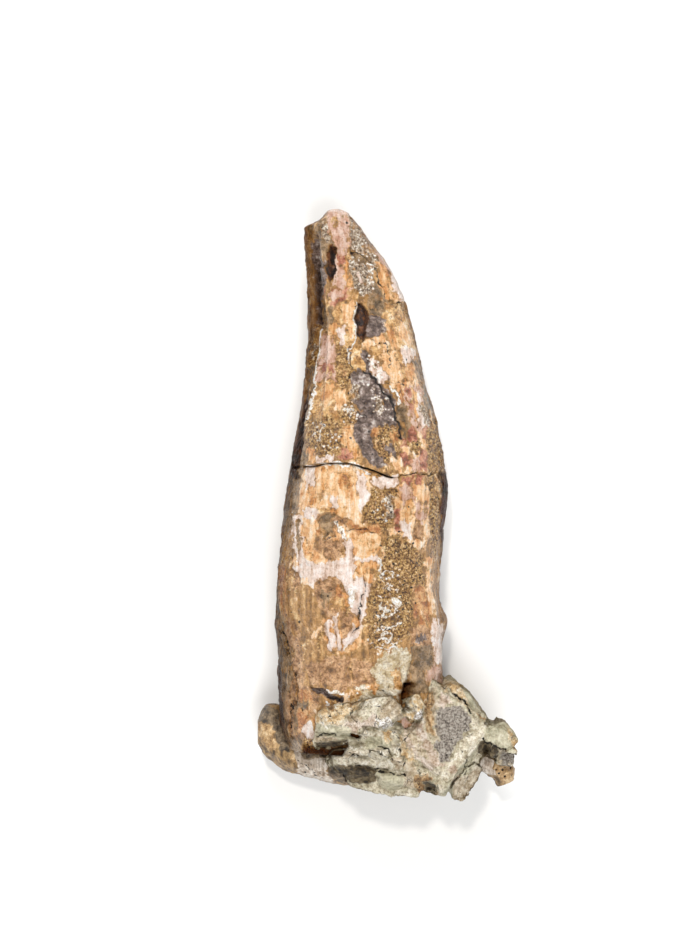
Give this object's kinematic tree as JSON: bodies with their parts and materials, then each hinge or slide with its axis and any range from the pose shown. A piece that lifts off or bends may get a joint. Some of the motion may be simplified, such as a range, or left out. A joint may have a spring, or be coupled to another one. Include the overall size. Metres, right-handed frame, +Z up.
{
  "type": "fossil sauropod tooth",
  "caption": "Fossil sauropod tooth lying on its side, with mudstone matrix and bone slivers cemented to its broken root.",
  "frame": {"origin": "on the resting surface, under the middle of the whole fossil's box", "axes": "+Z up from the resting surface, +Y along the tooth from its broken root to its tip, +X to the right as seen from above"},
  "size_m": [0.0391, 0.0885, 0.0233],
  "materials": {
    "tooth": "fossil enamel and dentine, cream to ochre with iron crust, satin",
    "matrix_stone": "rough grey-green mudstone, matt",
    "jaw_bone": "fossil bone, brown to pinkish cream, satin",
    "bone_splinter": "porous fossil bone, ochre, matt"
  },
  "bodies": {
    "root": {"tooth": "tooth", "matrix_stone": "matrix_stone", "jaw_bone": "jaw_bone", "bone_splinter": "bone_splinter"}
  },
  "joints": []
}
